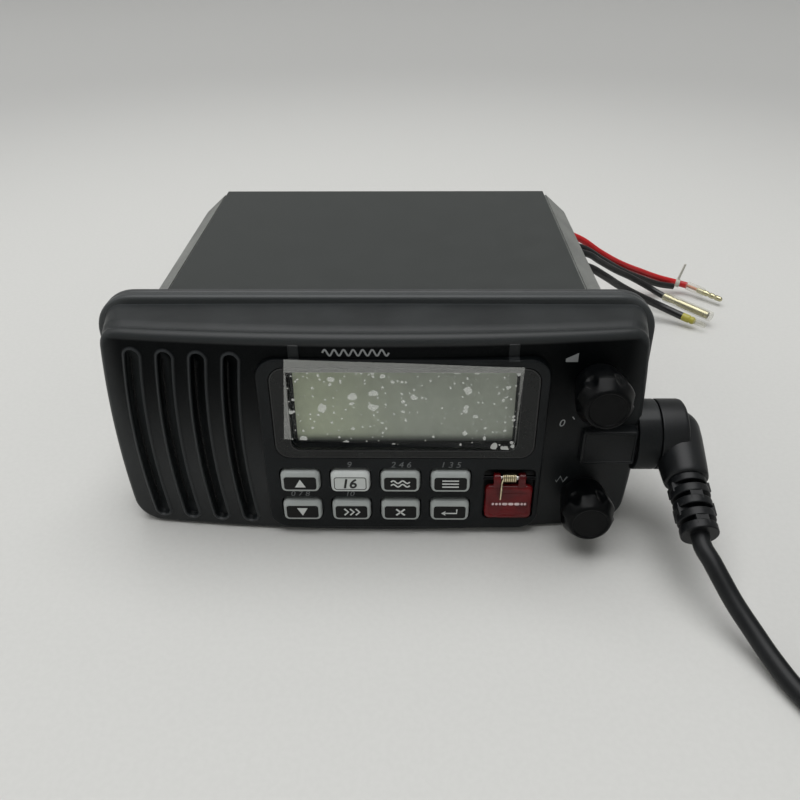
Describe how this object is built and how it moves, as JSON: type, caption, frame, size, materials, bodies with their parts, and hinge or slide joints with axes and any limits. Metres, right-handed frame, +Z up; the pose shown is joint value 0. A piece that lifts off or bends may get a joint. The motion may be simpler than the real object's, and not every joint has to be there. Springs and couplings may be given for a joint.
{
  "type": "vhf marine radio",
  "caption": "Fixed-mount marine radio with curved front panel, slotted speaker, display, keys, two knobs, right-angle microphone plug, corded fist microphone and rear leads.",
  "frame": {"origin": "middle of the casting's underside pad, on the table", "axes": "+Z up, +X to the right as the user faces the panel, +Y from the front panel to the back"},
  "size_m": [0.3198, 0.255, 0.067],
  "materials": {
    "shell_plastic": "moulded, very fine texture, near black",
    "gasket_rubber": "satin black rubber",
    "grille_cloth": "fine black cloth",
    "frame_steel": "dark plated pressing",
    "cone_paper": "black treated paper",
    "lens_clear": "clear window in a dark printed border",
    "film_clear": "thin protective film, a little milky",
    "lcd_grey": "grey-green, display off",
    "board_green": "solder mask",
    "mat_silicone": "translucent silicone",
    "key_grey": "translucent light grey, satin",
    "key_light": "translucent white, satin",
    "guard_red": "clear red, satin",
    "pin_chrome": "bright",
    "spring_steel": "bright drawn wire",
    "key_red": "satin red",
    "knob_rubber": "soft matt coat",
    "shaft_steel": "turned",
    "control_black": "moulded",
    "plug_rubber": "satin black, over-moulded",
    "cord_rubber": "smooth satin black",
    "mic_plastic": "fine texture, near black",
    "talk_rubber": "matt rubber",
    "cast_paint": "die casting, dark grey, slightly grainy",
    "cover_paint": "smooth dark grey paint",
    "can_tin": "tinned sheet",
    "module_black": "moulded resin",
    "socket_nickel": "nickel plate",
    "grommet_rubber": "matt",
    "insert_brass": "plain",
    "screw_steel": "plated",
    "lead_red": "satin sleeve",
    "lead_black": "satin sleeve",
    "sleeve_clear": "clear soft sleeve over bright metal",
    "aux_yellow": "yellow-olive sleeve",
    "tie_grey": "grey nylon"
  },
  "bodies": {
    "radio": {"front_shell": "shell_plastic", "front_gasket": "gasket_rubber", "grille_cloth": "grille_cloth", "speaker_frame": "frame_steel", "speaker_cone": "cone_paper", "display_lens": "lens_clear", "lens_film": "film_clear", "lcd_panel": "lcd_grey", "front_board": "board_green", "keypad_mat": "mat_silicone", "distress_pin": "pin_chrome", "volume_control": "control_black", "squelch_control": "control_black", "mic_socket": "control_black", "mic_plug": "plug_rubber", "strain_relief": "plug_rubber", "mic_cord": "cord_rubber", "mic_coil": "cord_rubber", "mic_cord_end": "cord_rubber", "mic_front_case": "mic_plastic", "mic_back_case": "mic_plastic", "mic_gland": "plug_rubber", "mic_hanger": "socket_nickel", "mic_screws": "screw_steel", "chassis_casting": "cast_paint", "top_cover": "cover_paint", "main_board": "board_green", "shield_can": "can_tin", "power_module": "module_black", "antenna_socket": "socket_nickel", "lead_grommet": "grommet_rubber", "bracket_inserts": "insert_brass", "cover_screws": "screw_steel", "front_screws": "screw_steel", "red_lead": "lead_red", "red_terminal": "sleeve_clear", "black_lead": "lead_black", "black_terminal": "sleeve_clear", "aux_lead": "lead_black", "aux_terminal": "aux_yellow", "plain_lead": "lead_black", "lead_tie": "tie_grey"},
    "key_up": {"key_up": "key_grey"},
    "key_sixteen": {"key_sixteen": "key_light"},
    "key_channel": {"key_channel": "key_grey"},
    "key_menu": {"key_menu": "key_grey"},
    "key_down": {"key_down": "key_grey"},
    "key_scan": {"key_scan": "key_grey"},
    "key_clear": {"key_clear": "key_grey"},
    "key_enter": {"key_enter": "key_grey"},
    "distress_key": {"distress_key": "key_red"},
    "distress_cover": {"distress_cover": "guard_red", "distress_spring": "spring_steel"},
    "volume": {"volume_knob": "knob_rubber", "volume_shaft": "shaft_steel"},
    "squelch": {"squelch_knob": "knob_rubber", "squelch_shaft": "shaft_steel"},
    "talk_bar": {"mic_talk_bar": "talk_rubber"}
  },
  "joints": [
    {"name": "key_up_press", "type": "slide", "parent": "radio", "child": "key_up", "axis": [0, 1, 0], "range_m": [0, 0.0008], "stiffness_N_per_m": 400},
    {"name": "key_sixteen_press", "type": "slide", "parent": "radio", "child": "key_sixteen", "axis": [0, 1, 0], "range_m": [0, 0.0008], "stiffness_N_per_m": 400},
    {"name": "key_channel_press", "type": "slide", "parent": "radio", "child": "key_channel", "axis": [0, 1, 0], "range_m": [0, 0.0008], "stiffness_N_per_m": 400},
    {"name": "key_menu_press", "type": "slide", "parent": "radio", "child": "key_menu", "axis": [0, 1, 0], "range_m": [0, 0.0008], "stiffness_N_per_m": 400},
    {"name": "key_down_press", "type": "slide", "parent": "radio", "child": "key_down", "axis": [0, 1, 0], "range_m": [0, 0.0008], "stiffness_N_per_m": 400},
    {"name": "key_scan_press", "type": "slide", "parent": "radio", "child": "key_scan", "axis": [0, 1, 0], "range_m": [0, 0.0008], "stiffness_N_per_m": 400},
    {"name": "key_clear_press", "type": "slide", "parent": "radio", "child": "key_clear", "axis": [0, 1, 0], "range_m": [0, 0.0008], "stiffness_N_per_m": 400},
    {"name": "key_enter_press", "type": "slide", "parent": "radio", "child": "key_enter", "axis": [0, 1, 0], "range_m": [0, 0.0008], "stiffness_N_per_m": 400},
    {"name": "distress_key_press", "type": "slide", "parent": "radio", "child": "distress_key", "axis": [0, 1, 0], "range_m": [0, 0.0008], "stiffness_N_per_m": 400},
    {"name": "distress_cover_lift", "type": "hinge", "parent": "radio", "child": "distress_cover", "pos_m": [0.0371, -0.0673, 0.02], "axis": [-1, 0, 0], "range_deg": [0, 110], "stiffness_Nm_per_rad": 0.003, "springref_deg": -11.46},
    {"name": "volume_turn", "type": "hinge", "parent": "radio", "child": "volume", "pos_m": [0.058, -0.06625, 0.05], "axis": [0, 1, 0], "range_deg": [0, 300]},
    {"name": "squelch_turn", "type": "hinge", "parent": "radio", "child": "squelch", "pos_m": [0.058, -0.06625, 0.0135], "axis": [0, 1, 0], "range_deg": [0, 300]},
    {"name": "talk_bar_press", "type": "slide", "parent": "radio", "child": "talk_bar", "axis": [1, 0, 0], "range_m": [0, 0.0015], "stiffness_N_per_m": 400}
  ]
}
